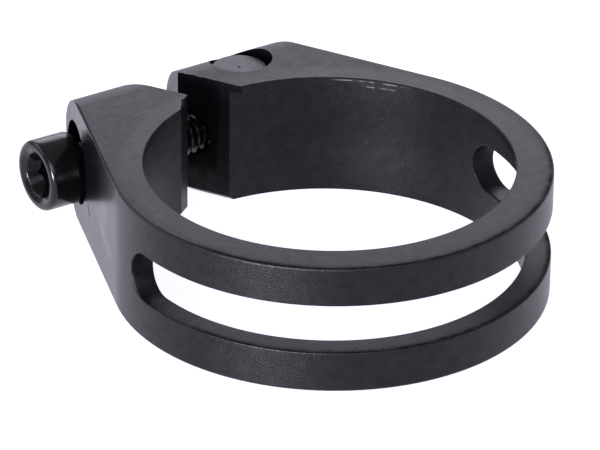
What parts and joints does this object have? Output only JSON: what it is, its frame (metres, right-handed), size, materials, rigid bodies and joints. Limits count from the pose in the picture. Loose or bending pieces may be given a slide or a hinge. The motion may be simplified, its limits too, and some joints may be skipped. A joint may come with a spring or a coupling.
{
  "type": "seatpost clamp",
  "caption": "Slotted round clamp band with a slanted slit, whose ears are drawn together by a socket head screw in a barrel nut to grip a seatpost in its seat tube.",
  "frame": {"origin": "centre of the bore at the band's lower face", "axes": "+Z along the bore axis, up towards the lip. +Y from the bore axis out to the ears. +X along the screw, from its head towards the nut"},
  "size_m": [0.0408, 0.0481, 0.0125],
  "materials": {
    "band": "bead blasted and anodised dark grey, satin",
    "screw": "black oxide, semi gloss",
    "nut": "dark grey, satin"
  },
  "bodies": {
    "band": {"clamp_band": "band"},
    "nut": {"barrel_nut": "nut"},
    "screw": {"clamp_screw": "screw"}
  },
  "joints": [
    {"name": "nut_swivel", "type": "hinge", "parent": "band", "child": "nut", "pos_m": [0.00427, 0.02235, 0.00597], "axis": [0, 0, 1], "range_deg": [-0.8, 0.8]},
    {"name": "screw_turn", "type": "hinge", "parent": "nut", "child": "screw", "pos_m": [0, 0.02235, 0.00597], "axis": [1, 0, 0], "continuous": true}
  ]
}
